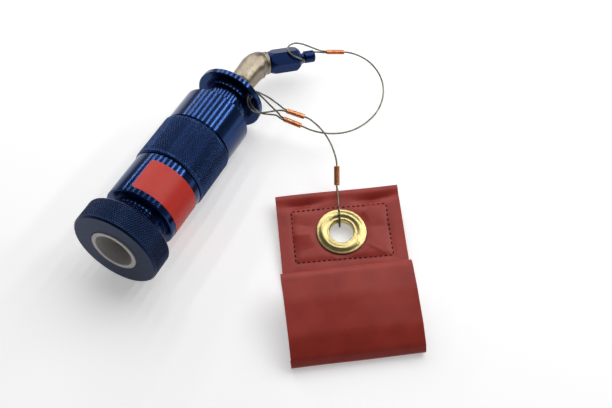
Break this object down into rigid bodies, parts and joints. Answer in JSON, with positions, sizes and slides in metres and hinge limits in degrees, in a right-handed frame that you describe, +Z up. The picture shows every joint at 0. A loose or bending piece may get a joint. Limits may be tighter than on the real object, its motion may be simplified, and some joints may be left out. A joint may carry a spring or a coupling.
{
  "type": "pitot probe test adaptor",
  "caption": "Blue anodised adaptor that clamps over a pressure probe's tip, with a capped hose elbow, wire rope lanyards and a red warning streamer.",
  "frame": {"origin": "bottom centre of the box round the adaptor, as it lies on a table, without its lanyards and streamer", "axes": "+X along the adaptor from its mouth to its hose port, +Z up"},
  "size_m": [0.2401, 0.2259, 0.06],
  "materials": {
    "blue_knurled": "deep blue anodised, bright turned",
    "blue_turned": "deep blue anodised, bright turned",
    "bush": "satin light grey polymer",
    "seal": "matte",
    "label": "glossy red film",
    "elbow": "turned and forged stainless steel",
    "sleeve": "copper, satin",
    "wire": "stranded wire rope",
    "brass": "polished",
    "vinyl": "red coated cloth, satin"
  },
  "bodies": {
    "adaptor": {"front_body": "blue_turned", "grip_band": "blue_knurled", "rear_body": "blue_turned", "seal": "seal", "blank_label": "label", "elbow": "elbow", "ferrule_a1": "sleeve", "ferrule_b1": "sleeve", "ferrule_b2": "sleeve", "lanyard_a_flange_loop": "wire", "lanyard_b_flange_loop": "wire", "lanyard_a_run": "wire", "lanyard_b_run": "wire", "lanyard_b_grommet_loop": "wire", "grommet": "brass", "grommet_washer": "brass", "streamer": "vinyl"},
    "guide_bush": {"guide_bush": "bush"},
    "clamp_nut": {"clamp_nut": "blue_knurled"},
    "pressure_cap": {"pressure_cap": "blue_turned", "lanyard_a_cap_loop": "wire", "ferrule_a2": "sleeve"}
  },
  "joints": [
    {"name": "bush_slide", "type": "slide", "parent": "adaptor", "child": "guide_bush", "axis": [0.9991, 0, -0.042], "range_m": [-0.00151, 0.00301]},
    {"name": "nut_turn", "type": "hinge", "parent": "guide_bush", "child": "clamp_nut", "pos_m": [-0.1068, 0.00192, 0.03034], "axis": [0.9991, 0, -0.042], "range_deg": [-360, 720]},
    {"name": "cap_off", "type": "slide", "parent": "adaptor", "child": "pressure_cap", "axis": [0.7023, -0.7002, -0.1281], "range_m": [0, 0.016], "deforming": ["lanyard_a_run"]}
  ],
  "couplings": [
    {"joint": "bush_slide", "follows": "nut_turn", "m_per_rad": 0.00023873}
  ]
}
